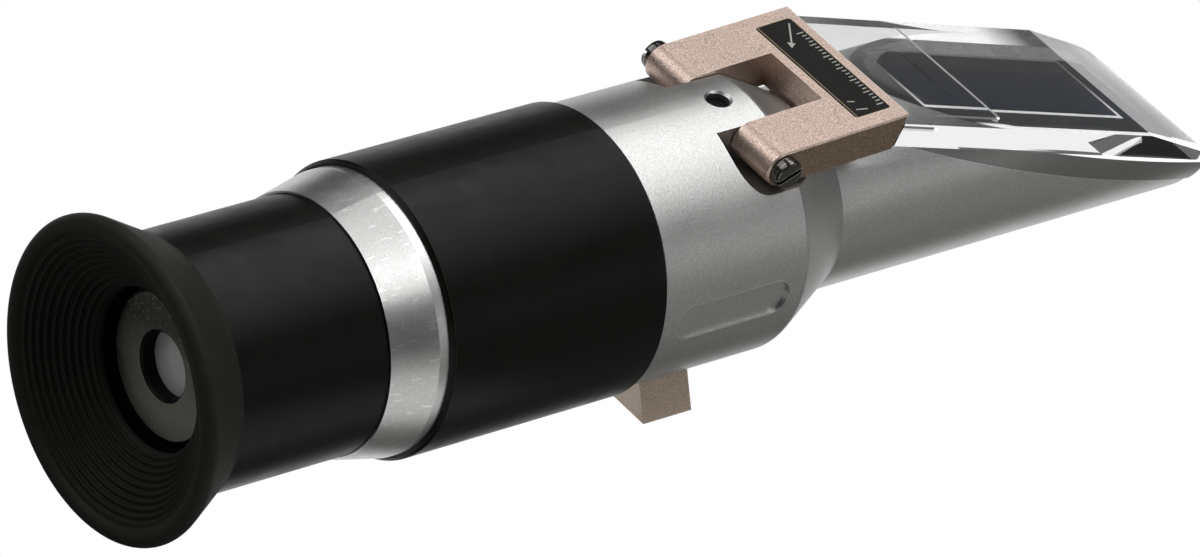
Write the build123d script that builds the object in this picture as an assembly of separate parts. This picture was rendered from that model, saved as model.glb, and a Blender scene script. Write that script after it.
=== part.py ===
from build123d import *
import math
import os

# Handheld refractometer. Lengths are millimetres.
# While it is drawn, X runs along the optical axis from the eyecup rim to the prism tip,
# Z is up and the axis is at height zero. Everything is moved to its place at the end.

# Eyepiece sleeve, turned by hand; most of the other radii are built out from it
sleeve_radius = 15.2
sleeve_wall = 2.8
sleeve_neck_step = 2.0
sleeve_neck_wall = 1.2
sleeve_neck_length = 2.5
sleeve_lip_length = 1.6
sleeve_lip_gap = 0.3
running_gap = 0.05
tube_bore_gap = 0.06
face_gap = 0.1
seat_gap = 0.02

# Eyecup, soft rubber, with a ribbed funnel inside; its rim lies level with the foot
cup_length = 7.6
cup_lip_width = 1.4
cup_lip_bevel = 0.5
cup_lip_thickness = 1.55
cup_back_step = 0.4
funnel_mouth_depth = 0.5
funnel_end_step = 0.2
funnel_end_depth = 6.2
funnel_end_wall = 0.7
funnel_rib_count = 10
funnel_rib_height = 0.28

# Lens carrier, which only slides, and its lenses
carrier_rear_wall = 1.2
carrier_nose_wall = 0.5
carrier_nose_recess = 0.9
retainer_length = 1.9
retainer_proud = 0.55
eye_aperture_radius = 3.95
aperture_bevel = 0.3
lens_radius = 8.0
lens_rim = 1.0
lens_seat_lip = 1.0
lens_seat_length = 1.2
eye_lens_edge = 1.6
eye_lens_bulge = 1.8
spacer_length = 5.0
spacer_wall = 0.9
field_lens_edge = 1.8
field_lens_bulge = 1.4
glass_gap = 0.03
retainer_step = 0.6

# Guide that keeps the carrier from turning
guide_ring_length = 2.8
guide_pin_radius = 1.0
guide_pin_gap = 0.05
guide_pin_root_gap = 0.5
guide_pin_end_gap = 0.2
focus_travel = 2.5

# Main tube with its bright collar, and the grip on it
collar_front_x = 28.1
collar_front_wall = 0.24
collar_cone_length = 5.9
collar_band_length = 1.45
collar_step = 0.35
tube_wall = 1.14
grip_thickness = 1.05
grip_length = 31.1
grip_edge_bevel = 0.35
tube_shoulder_depth = 15.5
sleeve_end_room = 7.0
reticle_room = 3.0
reticle_seat_step = 0.7
reticle_seat_length = 2.0
reticle_window_step = 2.0
reticle_thickness = 1.2
reticle_ring_length = 1.5
spigot_step = 0.5
spigot_wall = 2.7
spigot_length = 7.3
stop_thickness = 0.8
stop_radius = 9.0

# Head: the wide machined cylinder, its cone and the slim nose
head_length = 21.3
head_socket_wall = 0.95
head_edge_bevel = 0.25
cone_length = 9.2
nose_radius = 12.25
nose_round = 1.5
nose_setback = 0.68
flat_rear_margin = 2.4
flat_front_margin = 2.1
flat_half_height = 2.3
flat_depth = 0.5

# Cover hinge and the two-armed bracket
hinge_margin = 2.85
hinge_depth = 2.5
fork_thickness = 4.6
fork_half_width = 11.65
fork_gap_half_width = 4.84
fork_side_gap = 0.12
fork_length = 18.4
fork_lift = 2.2
fork_edge_bevel = 0.2
notch_rear_room = 2.75
notch_floor_gap = 0.5
notch_round = 3.8
hinge_screw_radius = 1.1
hinge_screw_head_radius = 1.85
hinge_screw_head_length = 1.3
hinge_slot_turn = 22.0
hinge_screw_tip_y = 2.45
hinge_hole_gap = 0.05
screw_head_bevel = 0.3
slot_width = 0.5
slot_depth = 0.6

# Label on the bracket
label_front_margin = 1.1
label_rear_margin = 1.2
label_length = 5.35
label_side_margin = 2.05
label_recess = 0.4
label_thickness = 0.35
label_gap = 0.05
label_corner = 0.5

# Clear plate that closes on the prism, held by a tongue in a slot of the bracket
face_slope = 16.9
plate_thickness = 3.05
plate_corner = 2.0
plate_rear_gap = 0.05
plate_wedge_length = 12.0
plate_front_thickness = 1.0
plate_front_setback = 0.8
plate_pad_length = 18.5
plate_pad_margin = 1.95
plate_pad_height = 0.3
plate_under_fork = 0.52
plate_rest_gap = 0.06
tongue_length = 4.2
tongue_half_width = 8.0
tongue_thickness = 1.4
tongue_height = 0.6
tongue_gap = 0.05
tongue_screw_y = 5.0
tongue_screw_inset = 2.3
tongue_screw_seat = 0.25
tongue_screw_radius = 0.6
tongue_screw_head_radius = 1.0
tongue_screw_head_length = 0.35

# Prism, the frame round it and the seal between them
frame_length = 57.6
frame_start = 2.6
frame_rear_thickness = 1.8
frame_taper = 1.6
frame_corner = 2.2
frame_front_wall = 5.4
frame_side_wall = 2.85
frame_round_wall = 0.75
seal_start = 5.2
seal_front_width = 2.2
seal_side_width = 3.0
seal_depth = 1.2
seal_corner = 1.2
prism_face_start = 9.0
prism_round_wall = 1.4
prism_front_lean = 3.5
prism_exit_top = 6.6
prism_bottom_z = -5.5
prism_exit_room = 5.3
prism_gap = 0.3
nose_flat_room = 8.0
nose_flat_reach = 12.0
nose_flat_half_width = 5.1
nose_flat_depth = 1.65

# Objective, the strip that carries it, and the screw that trims it
chamber_wall = 5.35
chamber_end_room = 3.6
light_path_radius = 5.5
objective_room = 8.4
objective_length = 7.0
objective_side_gap = 0.6
objective_wall = 2.9
objective_lens_edge = 2.6
objective_lens_bulge = 1.3
objective_lens_rim = 1.3
objective_lip = 1.2
objective_front_wall = 1.3
objective_retainer_length = 1.4
objective_shift = 0.25
objective_clearance = 0.3
strip_thickness = 0.5
strip_half_width = 2.5
strip_clamp_height = 2.6
strip_clamp_length = 3.4
strip_clamp_margin = 1.0
strip_screw_radius = 0.7
strip_screw_head_radius = 1.2
strip_screw_head_length = 0.6
trim_offset = 1.15
trim_hole_radius = 1.45
trim_hole_bevel = 0.3
trim_screw_radius = 1.4
trim_screw_room = 0.4
plug_radius = 1.43
plug_length = 2.0
plug_recess = 1.0

# Foot under the head; the instrument lies on it and on the eyecup rim
foot_height = 2.2
foot_length = 7.2
foot_margin = 6.6
foot_lean = 20.0
foot_edge_bevel = 0.2
foot_screw_y = 6.5
foot_screw_radius = 1.2
foot_screw_head_radius = 2.1
foot_screw_head_length = 1.2
foot_screw_length = 7.0
foot_screw_recess = 0.25

# Long enough to cut right through anything here
beyond = 60.0


def turned(*corners):
    """A piece turned about the optical axis, from its (x, radius) corners."""
    return revolve(make_face(Plane.XZ * Polyline(*corners, close=True)), Axis.X)


def rod(radius, start, end):
    """A round rod between two points."""
    line = Line(start, end)
    return extrude(Plane(start, z_dir=line.tangent_at(0)) * Circle(radius), line.length)


def block(x_range, y_range, z_range):
    """A square block between two corners."""
    size = [high - low for low, high in (x_range, y_range, z_range)]
    return Pos(x_range[0], y_range[0], z_range[0]) * Box(*size, align=(Align.MIN,) * 3)


def both_sides(piece):
    """The piece and its mirror image on the other side of the instrument."""
    return [piece, mirror(piece, Plane.XZ)]


def dome_line(face_x, bulge, outward, dome_radius):
    """Half outline of a dome on a lens face, from the axis to the flat rim, and its apex."""
    rim_point = (face_x, dome_radius)
    if bulge == 0:
        return Line((face_x, 0), rim_point), (face_x, 0)
    ball_radius = (dome_radius**2 + bulge**2) / (2 * bulge)
    centre_x = face_x + outward * (bulge - ball_radius)
    half_angle = math.asin(dome_radius / ball_radius) / 2
    middle = (centre_x + outward * ball_radius * math.cos(half_angle), ball_radius * math.sin(half_angle))
    apex = (face_x + outward * bulge, 0)
    return ThreePointArc(apex, middle, rim_point), apex


def lens(front_x, edge, front_bulge, rear_bulge, radius, rim):
    """A lens with a flat rim round each dome; a bulge of zero leaves that side flat."""
    rear_x = front_x + edge
    front_line, front_apex = dome_line(front_x, front_bulge, -1, radius - rim)
    rear_line, rear_apex = dome_line(rear_x, rear_bulge, 1, radius - rim)
    rim_line = Polyline((front_x, radius - rim), (front_x, radius), (rear_x, radius), (rear_x, radius - rim))
    outline = Plane.XZ * (front_line + rim_line + rear_line + Line(rear_apex, front_apex))
    return revolve(make_face(outline), Axis.X)


def slotted_screw(head_radius, head_length, shank_radius, shank_length):
    """A slotted cylinder-head screw along Z: underside of the head at zero, shank downwards."""
    head = extrude(Circle(head_radius), head_length)
    head = chamfer(head.edges().sort_by(Axis.Z)[-1], screw_head_bevel)
    slot = Pos(0, 0, head_length) * Box(3 * head_radius, slot_width, 2 * slot_depth)
    return head - slot + extrude(Circle(shank_radius), -shank_length)


# Radii that follow, from the sleeve outwards and inwards
tube_bore_radius = sleeve_radius + tube_bore_gap
collar_front_radius = tube_bore_radius + collar_front_wall
tube_radius = tube_bore_radius + tube_wall
collar_radius = tube_radius + collar_step
grip_radius = tube_radius + grip_thickness
spigot_radius = tube_radius - spigot_step
tube_light_bore = spigot_radius - spigot_wall
reticle_seat_radius = tube_light_bore - reticle_seat_step
reticle_window_radius = reticle_seat_radius - reticle_window_step
head_radius = spigot_radius + head_socket_wall
chamber_radius = head_radius - chamber_wall
objective_radius = chamber_radius - objective_side_gap
objective_lens_radius = objective_radius - objective_wall
sleeve_neck_radius = sleeve_radius - sleeve_neck_step
carrier_radius = sleeve_radius - sleeve_wall
retainer_radius = lens_radius + retainer_step
carrier_nose_radius = retainer_radius + carrier_nose_wall
sleeve_lip_bore = carrier_nose_radius + sleeve_lip_gap
cup_rim_radius = head_radius + foot_height
cup_back_radius = sleeve_radius + cup_back_step
funnel_mouth_radius = cup_rim_radius - cup_lip_thickness
funnel_end_radius = sleeve_lip_bore + funnel_end_step
foot_half_width = fork_half_width

# Places that follow along the axis, from the eyecup to the cone
sleeve_shoulder_x = cup_length + face_gap
carrier_shoulder_x = sleeve_shoulder_x + sleeve_lip_length + face_gap
carrier_front_x = sleeve_shoulder_x + carrier_nose_recess
retainer_x = carrier_front_x - retainer_proud
eye_lens_x = retainer_x + retainer_length
spacer_x = eye_lens_x + eye_lens_edge
field_lens_x = spacer_x + spacer_length
lens_seat_x = field_lens_x + field_lens_edge
collar_cone_x = collar_front_x + collar_cone_length
collar_rear_x = collar_cone_x + collar_band_length
tube_inner_shoulder_x = collar_rear_x + tube_shoulder_depth
sleeve_rear_x = tube_inner_shoulder_x - sleeve_end_room
guide_ring_x = sleeve_rear_x + face_gap
guide_pin_x = guide_ring_x + guide_ring_length / 2
carrier_rear_x = guide_ring_x + guide_ring_length
reticle_seat_x = tube_inner_shoulder_x + reticle_room
head_rear_x = collar_rear_x + grip_length
head_front_x = head_rear_x + head_length
nose_start_x = head_front_x + cone_length
objective_x = head_front_x - objective_room
objective_end_x = objective_x + objective_length
chamber_end_x = nose_start_x - chamber_end_room
strip_screw_x = chamber_end_x - strip_clamp_length / 2
strip_height = -chamber_radius + strip_clamp_height
foot_rear_x = head_rear_x + foot_margin

# Places that follow from the hinge
hinge_x = head_front_x - hinge_margin
hinge_z = head_radius - hinge_depth
fork_half = fork_thickness / 2
trim_x = hinge_x - trim_offset
notch_rear_x = hinge_x - fork_half - notch_rear_room
notch_floor_z = hinge_z - fork_half - notch_floor_gap
lug_half_width = fork_gap_half_width - fork_side_gap
label_end = fork_length - label_front_margin
label_start = label_end - label_length
label_half_width = fork_half_width - label_side_margin
fork_window_length = label_start - label_rear_margin
fork_front_lean = fork_thickness * math.tan(math.radians(face_slope + fork_lift))
hinge_place = Location((hinge_x, 0, hinge_z), (0, -fork_lift, 0))
fork_front_top = (hinge_place * Pos(fork_length, 0, fork_half)).position

# Places along the prism face: the plate's underside, the frame and the prism
plate_half_width = fork_half_width
plate_length = frame_length - plate_front_setback
plate_wedge_start = plate_length - plate_wedge_length
plate_pad_half_width = plate_half_width - plate_pad_margin
wedge_fall = (plate_thickness - plate_front_thickness) / plate_wedge_length
fork_front_drop = fork_thickness / math.cos(math.radians(face_slope + fork_lift))
slope_frame = Location(tuple(fork_front_top), (0, face_slope, 0))
plate_place = slope_frame * Pos(0, 0, plate_under_fork - fork_front_drop)
frame_seat = plate_place * Location((0, 0, -plate_rest_gap - frame_rear_thickness), (0, frame_taper, 0))
frame_half_width = nose_radius
seal_end = frame_length - frame_front_wall
seal_half_width = frame_half_width - frame_side_wall
prism_face_end = seal_end - seal_front_width
prism_half_width = seal_half_width - seal_side_width
prism_exit_x = fork_front_top.X + prism_exit_room - plate_rest_gap
prism_toe_x = (plate_place * Pos(prism_face_end, 0, 0)).position.X - prism_front_lean
frame_tip = (plate_place * Pos(frame_length, 0, 0)).position
tip_x = frame_tip.X - nose_setback
nose_flat_start_x = fork_front_top.X - nose_flat_room
nose_flat_z = nose_radius - nose_flat_depth


def make_eyecup():
    rib_points = []
    run = funnel_end_depth - funnel_mouth_depth
    fall = funnel_mouth_radius - funnel_end_radius
    for step in range(2 * funnel_rib_count + 1):
        share = step / (2 * funnel_rib_count)
        proud = funnel_rib_height if step % 2 else 0
        rib_x = funnel_mouth_depth + share * run - proud
        rib_points.append((rib_x, funnel_mouth_radius - share * fall - proud))
    neck_x = sleeve_shoulder_x - sleeve_neck_length
    return turned(
        (0, funnel_mouth_radius + cup_lip_bevel),
        *rib_points,
        (funnel_end_depth + funnel_end_wall, funnel_end_radius),
        (neck_x, sleeve_neck_radius - sleeve_neck_wall - running_gap),
        (neck_x, sleeve_neck_radius),
        (cup_length, sleeve_neck_radius),
        (cup_length, cup_back_radius),
        (cup_lip_width, cup_rim_radius),
        (cup_lip_bevel, cup_rim_radius),
        (0, cup_rim_radius - cup_lip_bevel),
    )


def make_focus_sleeve():
    neck_x = sleeve_shoulder_x - sleeve_neck_length
    neck_bore = sleeve_neck_radius - sleeve_neck_wall
    carrier_bore = carrier_radius + running_gap
    lip_end = sleeve_shoulder_x + sleeve_lip_length
    return turned(
        (neck_x, neck_bore),
        (neck_x, sleeve_neck_radius),
        (sleeve_shoulder_x, sleeve_neck_radius),
        (sleeve_shoulder_x, sleeve_radius),
        (sleeve_rear_x, sleeve_radius),
        (sleeve_rear_x, carrier_bore),
        (lip_end, carrier_bore),
        (lip_end, sleeve_lip_bore),
        (sleeve_shoulder_x, sleeve_lip_bore),
        (sleeve_shoulder_x, neck_bore),
    )


def make_lens_carrier():
    seat_end = lens_seat_x + lens_seat_length
    rear_bore = carrier_radius - carrier_rear_wall
    barrel = turned(
        (carrier_front_x, retainer_radius),
        (carrier_front_x, carrier_nose_radius),
        (carrier_shoulder_x, carrier_nose_radius),
        (carrier_shoulder_x, carrier_radius),
        (carrier_rear_x, carrier_radius),
        (carrier_rear_x, rear_bore),
        (seat_end, rear_bore),
        (seat_end, lens_radius - lens_seat_lip),
        (lens_seat_x, lens_radius - lens_seat_lip),
        (lens_seat_x, lens_radius + glass_gap),
        (eye_lens_x, lens_radius + glass_gap),
        (eye_lens_x, retainer_radius),
    )
    return barrel


def make_lens_retainer():
    return turned(
        (retainer_x, eye_aperture_radius + aperture_bevel),
        (retainer_x, retainer_radius - glass_gap),
        (eye_lens_x, retainer_radius - glass_gap),
        (eye_lens_x, eye_aperture_radius),
        (retainer_x + aperture_bevel, eye_aperture_radius),
    )


def make_lens_spacer():
    return turned(
        (spacer_x, lens_radius - spacer_wall),
        (spacer_x, lens_radius),
        (field_lens_x, lens_radius),
        (field_lens_x, lens_radius - spacer_wall),
    )


def guide_pin_rod(reach):
    """The guide pin's round, from its root in the ring down to a distance from the optical axis."""
    root = carrier_radius + guide_pin_root_gap
    return rod(guide_pin_radius, (guide_pin_x, 0, -root), (guide_pin_x, 0, -reach))


def make_guide_ring():
    end = guide_ring_x + guide_ring_length
    ring = turned(
        (guide_ring_x, carrier_radius + seat_gap),
        (guide_ring_x, sleeve_radius),
        (end, sleeve_radius),
        (end, carrier_radius + seat_gap),
    )
    return ring - guide_pin_rod(grip_radius)


def make_guide_pin():
    return guide_pin_rod(tube_radius - guide_pin_end_gap)


def make_main_tube():
    seat_rear = reticle_seat_x + reticle_seat_length
    spigot_end = head_rear_x + spigot_length
    tube = turned(
        (collar_front_x, tube_bore_radius),
        (collar_front_x, collar_front_radius),
        (collar_cone_x, collar_radius),
        (collar_rear_x, collar_radius),
        (collar_rear_x, tube_radius),
        (head_rear_x, tube_radius),
        (head_rear_x, spigot_radius),
        (spigot_end, spigot_radius),
        (spigot_end, tube_light_bore),
        (seat_rear, tube_light_bore),
        (seat_rear, reticle_window_radius),
        (reticle_seat_x, reticle_window_radius),
        (reticle_seat_x, reticle_seat_radius + seat_gap),
        (tube_inner_shoulder_x, reticle_seat_radius + seat_gap),
        (tube_inner_shoulder_x, tube_bore_radius),
    )
    half_slot = guide_pin_radius + guide_pin_gap
    slot_reach = focus_travel + half_slot
    guide_slot = block(
        (guide_pin_x - slot_reach, guide_pin_x + slot_reach),
        (-half_slot, half_slot),
        (-grip_radius, -carrier_radius),
    )
    return tube - guide_slot


def make_grip_sleeve():
    sleeve = turned(
        (collar_rear_x, tube_radius),
        (collar_rear_x, grip_radius),
        (head_rear_x, grip_radius),
        (head_rear_x, tube_radius),
    )
    rims = sleeve.edges().filter_by(GeomType.CIRCLE).group_by(lambda edge: edge.radius)[-1]
    return chamfer(rims, grip_edge_bevel)


def make_reticle():
    return turned(
        (reticle_seat_x - reticle_thickness, 0),
        (reticle_seat_x - reticle_thickness, reticle_seat_radius),
        (reticle_seat_x, reticle_seat_radius),
        (reticle_seat_x, 0),
    )


def make_reticle_ring():
    end = reticle_seat_x - reticle_thickness
    start = end - reticle_ring_length
    return turned(
        (start, reticle_window_radius),
        (start, reticle_seat_radius),
        (end, reticle_seat_radius),
        (end, reticle_window_radius),
    )


def make_light_stop():
    start = head_rear_x + spigot_length
    return turned(
        (start, stop_radius),
        (start, spigot_radius - seat_gap),
        (start + stop_thickness, spigot_radius - seat_gap),
        (start + stop_thickness, stop_radius),
    )


def slope_block(t_range, half_width, n_range, corner=0):
    """A slab along the prism face: t runs towards the tip, n is the height over the plate's underside."""
    slab = block(t_range, (-half_width, half_width), n_range)
    if corner:
        front = slab.edges().filter_by(Axis.Z).sort_by(Axis.X)[-2:]
        slab = fillet(front, corner)
    return slab


def prism_outline(gap):
    """Side outline of the prism, grown by a gap where it sits in its pocket."""
    heel = plate_place * Pos(prism_face_start - gap, 0, -plate_rest_gap)
    toe = plate_place * Pos(prism_face_end + gap, 0, -plate_rest_gap)
    return Polyline(
        (heel.position.X, heel.position.Z),
        (toe.position.X, toe.position.Z),
        (prism_toe_x + gap, prism_bottom_z - gap),
        (prism_exit_x - gap, prism_bottom_z - gap),
        (prism_exit_x - gap, prism_exit_top + gap),
        close=True,
    )


def nose_core(wall):
    """The nose's round, less a wall; what lies inside it doesn't show at the nose's sides."""
    return rod(nose_radius - wall, (head_front_x, 0, 0), (beyond + tip_x, 0, 0))


def prism_body(gap):
    half = prism_half_width + gap
    return extrude(Plane.XZ * make_face(prism_outline(gap)), half, both=True) & nose_core(prism_round_wall - gap)


def make_prism_frame():
    slab_range = (frame_start, frame_length)
    slab = slope_block(slab_range, frame_half_width, (-beyond, -plate_rest_gap), frame_corner)
    under = frame_seat * block((-beyond, beyond + frame_length), (-beyond, beyond), (-2 * beyond, 0))
    pocket = slope_block(
        (seal_start, seal_end), seal_half_width, (-plate_rest_gap - seal_depth, 1), seal_corner
    )
    frame = (plate_place * slab & nose_core(0)) - under
    return frame - (plate_place * pocket & nose_core(frame_round_wall)) - prism_body(prism_gap)


def make_prism_gasket():
    top = -plate_rest_gap - seat_gap
    seal = slope_block(
        (seal_start + seat_gap, seal_end - seat_gap),
        seal_half_width - seat_gap,
        (-plate_rest_gap - seal_depth, top),
        seal_corner,
    )
    return (plate_place * seal & nose_core(frame_round_wall + seat_gap)) - prism_body(seat_gap)


def make_head():
    body = turned(
        (head_rear_x, 0),
        (head_rear_x, head_radius),
        (head_front_x, head_radius),
        (nose_start_x, nose_radius),
        (tip_x, nose_radius),
        (tip_x, 0),
    )
    body = fillet(body.edges().filter_by(GeomType.CIRCLE).sort_by(Axis.X)[-1], nose_round)
    rims = body.edges().filter_by(GeomType.CIRCLE).group_by(lambda edge: edge.radius)[-1]
    body = chamfer(rims, head_edge_bevel)

    # The seat of the prism frame and the flat under the fork's bridge
    body -= frame_seat * block((frame_start, 2 * frame_length), (-beyond, beyond), (0, beyond))
    body -= block(
        (nose_flat_start_x, nose_start_x + nose_flat_reach),
        (-nose_flat_half_width, nose_flat_half_width),
        (nose_flat_z, beyond),
    )
    body -= prism_body(prism_gap)

    # Bore: the tube's socket, the objective's chamber and the light path to the prism
    stop_end = head_rear_x + spigot_length + stop_thickness
    body -= turned(
        (head_rear_x, 0),
        (head_rear_x, spigot_radius + seat_gap),
        (stop_end, spigot_radius + seat_gap),
        (stop_end, chamber_radius),
        (chamber_end_x, chamber_radius),
        (chamber_end_x, light_path_radius),
        (prism_exit_x, light_path_radius),
        (prism_exit_x, 0),
    )

    # A notch for each arm of the fork, with a large round where its floor meets the rear wall
    notch = Plane.XZ * make_face(
        Polyline(
            (notch_rear_x, notch_floor_z),
            (beyond + notch_rear_x, notch_floor_z),
            (beyond + notch_rear_x, beyond),
            (notch_rear_x, beyond),
            close=True,
        )
    )
    notch = extrude(notch, -beyond)
    notch = fillet(notch.edges().filter_by(Axis.Y).group_by(Axis.Z)[0].sort_by(Axis.X)[0], notch_round)
    for side in both_sides(Pos(0, lug_half_width, 0) * notch):
        body -= side

    # Shallow spanner flats on the two sides
    flat_length = head_length - flat_rear_margin - flat_front_margin
    flat_centre = head_rear_x + flat_rear_margin + flat_length / 2
    flat = Plane((flat_centre, head_radius - flat_depth, 0), x_dir=(1, 0, 0), z_dir=(0, 1, 0))
    pocket = extrude(flat * SlotOverall(flat_length, 2 * flat_half_height), beyond)
    for side in both_sides(pocket):
        body -= side

    # Holes: the two hinge screws, the trim screw and the foot screws
    pivot_end = (hinge_x, beyond, hinge_z)
    pivot_hole = rod(hinge_screw_radius + seat_gap, (hinge_x, hinge_screw_tip_y, hinge_z), pivot_end)
    for side in both_sides(pivot_hole):
        body -= side
    body -= rod(trim_hole_radius, (trim_x, 0, 0), (trim_x, 0, beyond))
    body -= Pos(trim_x, 0, head_radius) * Cone(
        trim_hole_radius, trim_hole_radius + 2 * trim_hole_bevel, 2 * trim_hole_bevel
    )
    for screw_hole in foot_screw_places():
        body -= screw_hole * extrude(Circle(foot_screw_radius + seat_gap), -foot_screw_length)
    return body


def foot_screw_places():
    """Underside of each foot screw's head, looking down through the foot; shank upwards."""
    head_z = -cup_rim_radius + foot_screw_recess + foot_screw_head_length
    middle_x = foot_rear_x + foot_length / 2
    return [Location((middle_x, y, head_z), (180, 0, 0)) for y in (-foot_screw_y, foot_screw_y)]


def make_foot_block():
    lean = math.tan(math.radians(foot_lean))
    top_z = -head_radius / 2
    shift = (top_z + cup_rim_radius) * lean
    outline = Polyline(
        (foot_rear_x, -cup_rim_radius),
        (foot_rear_x + foot_length, -cup_rim_radius),
        (foot_rear_x + foot_length - shift, top_z),
        (foot_rear_x - shift, top_z),
        close=True,
    )
    foot = extrude(Plane.XZ * make_face(outline), foot_half_width, both=True)
    foot = chamfer(foot.edges().group_by(Axis.Z)[0], foot_edge_bevel)
    foot -= rod(head_radius + seat_gap, (foot_rear_x - beyond, 0, 0), (foot_rear_x + beyond, 0, 0))
    for place in foot_screw_places():
        foot -= place * extrude(Circle(foot_screw_head_radius + seat_gap), beyond)
        foot -= place * extrude(Circle(foot_screw_radius + seat_gap), -beyond)
    return foot


def make_foot_screws():
    reach = foot_screw_length - seat_gap
    screw = slotted_screw(foot_screw_head_radius, foot_screw_head_length, foot_screw_radius, reach)
    return [place * screw for place in foot_screw_places()]


def make_hinge_screws():
    head_y = fork_half_width + face_gap
    reach = head_y - hinge_screw_tip_y - face_gap
    screw = slotted_screw(hinge_screw_head_radius, hinge_screw_head_length, hinge_screw_radius, reach)
    slot_turn = math.radians(hinge_slot_turn)
    slot_line = (math.cos(slot_turn), 0, -math.sin(slot_turn))
    place = Plane((hinge_x, head_y, hinge_z), x_dir=slot_line, z_dir=(0, 1, 0))
    return both_sides(place.location * screw)


def make_cover_bracket():
    side = make_face(
        Plane.XZ
        * (
            ThreePointArc((0, fork_half), (-fork_half, 0), (0, -fork_half))
            + Line((0, -fork_half), (fork_length - fork_front_lean, -fork_half))
            + Line((fork_length - fork_front_lean, -fork_half), (fork_length, fork_half))
            + Line((fork_length, fork_half), (0, fork_half))
        )
    )
    fork = extrude(side, fork_half_width, both=True)
    outer = fork.faces().filter_by(Axis.Y)
    fork = chamfer(outer.edges(), fork_edge_bevel)
    fork -= block(
        (-beyond, fork_window_length), (-fork_gap_half_width, fork_gap_half_width), (-beyond, beyond)
    )
    recess_depths = (fork_half - label_recess, fork_thickness)
    recess = block((label_start, label_end), (-label_half_width, label_half_width), recess_depths)
    fork -= fillet(recess.edges().filter_by(Axis.Z), label_corner)
    fork -= rod(hinge_screw_radius + hinge_hole_gap, (0, -beyond, 0), (0, beyond, 0))
    fork = hinge_place * fork
    fork -= plate_place * tongue_block(tongue_gap)
    for place in tongue_screw_places():
        fork -= place * extrude(Circle(tongue_screw_radius + seat_gap), tongue_screw_length())
        fork -= place * extrude(Circle(tongue_screw_head_radius + seat_gap), -beyond)
    return fork


def tongue_block(gap):
    """The plate's tongue, and with a gap round it the slot that it slides into."""
    return block(
        (-tongue_length - gap, plate_rear_gap),
        (-tongue_half_width - gap, tongue_half_width + gap),
        (tongue_height - gap, tongue_height + tongue_thickness + gap),
    )


def tongue_screw_length():
    """Length that reaches through the tongue into the bridge over it."""
    return tongue_height + tongue_thickness


def tongue_screw_places():
    """Underside of each head of the two screws that go up through the tongue."""
    head_seat = plate_place * Pos(-tongue_screw_inset, 0, tongue_screw_seat)
    return [head_seat * Pos(0, y, 0) for y in (-tongue_screw_y, tongue_screw_y)]


def make_plate_screws():
    screw = extrude(Circle(tongue_screw_head_radius), -tongue_screw_head_length)
    screw += extrude(Circle(tongue_screw_radius), tongue_screw_length() - seat_gap)
    return [place * screw for place in tongue_screw_places()]


def make_daylight_plate():
    start = plate_rear_gap
    slab = slope_block((start, plate_length), plate_half_width, (0, plate_thickness), plate_corner)
    wedge = Plane.XZ * make_face(
        Polyline(
            (plate_wedge_start, plate_thickness),
            (plate_length + beyond, plate_front_thickness - beyond * wedge_fall),
            (plate_length + beyond, 2 * plate_thickness),
            (plate_wedge_start, 2 * plate_thickness),
            close=True,
        )
    )
    slab -= extrude(wedge, beyond, both=True)
    pad_top = plate_thickness + plate_pad_height
    pad_sides = (-plate_pad_half_width, plate_pad_half_width)
    pad = block((start, plate_pad_length), pad_sides, (plate_thickness, pad_top))
    plate = slab + pad + tongue_block(0)
    for place in tongue_screw_places():
        plate -= plate_place.inverse() * place * extrude(Circle(tongue_screw_radius + seat_gap), beyond)
    return plate_place * plate


def make_label_plate():
    bottom = fork_half - label_recess
    label = block(
        (label_start + label_gap, label_end - label_gap),
        (-label_half_width + label_gap, label_half_width - label_gap),
        (bottom, bottom + label_thickness),
    )
    return hinge_place * fillet(label.edges().filter_by(Axis.Z), label_corner - label_gap)


def make_objective_cell():
    end = objective_end_x
    lens_start = objective_x + objective_front_wall
    return turned(
        (objective_x, objective_lens_radius - objective_lip),
        (objective_x, objective_radius),
        (end, objective_radius),
        (end, objective_lens_radius + glass_gap),
        (lens_start, objective_lens_radius + glass_gap),
        (lens_start, objective_lens_radius - objective_lip),
    )


def make_objective_lens():
    return lens(
        objective_x + objective_front_wall,
        objective_lens_edge,
        objective_lens_bulge,
        0,
        objective_lens_radius,
        objective_lens_rim,
    )


def make_objective_retainer():
    start = objective_x + objective_front_wall + objective_lens_edge
    return turned(
        (start, objective_lens_radius - objective_lip),
        (start, objective_lens_radius),
        (start + objective_retainer_length, objective_lens_radius),
        (start + objective_retainer_length, objective_lens_radius - objective_lip),
    )


def strip_screw_hole():
    return rod(strip_screw_radius + seat_gap, (strip_screw_x, 0, -beyond), (strip_screw_x, 0, 0))


def make_bimetal_strip():
    strip = block(
        (objective_end_x + objective_clearance, chamber_end_x - seat_gap),
        (-strip_half_width, strip_half_width),
        (strip_height, strip_height + strip_thickness),
    )
    return strip - strip_screw_hole()


def make_strip_clamp():
    saddle = block(
        (chamber_end_x - strip_clamp_length, chamber_end_x - seat_gap),
        (-strip_half_width - strip_clamp_margin, strip_half_width + strip_clamp_margin),
        (-beyond, strip_height - seat_gap),
    )
    chamber = rod(chamber_radius - seat_gap, (chamber_end_x - beyond, 0, 0), (chamber_end_x, 0, 0))
    return (saddle & chamber) - strip_screw_hole()


def make_strip_screw():
    top = strip_height + strip_thickness + seat_gap
    under_head = (strip_screw_x, 0, top)
    shank = rod(strip_screw_radius, (strip_screw_x, 0, -chamber_radius + 2 * seat_gap), under_head)
    head = rod(strip_screw_head_radius, under_head, (strip_screw_x, 0, top + strip_screw_head_length))
    return shank + head


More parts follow.
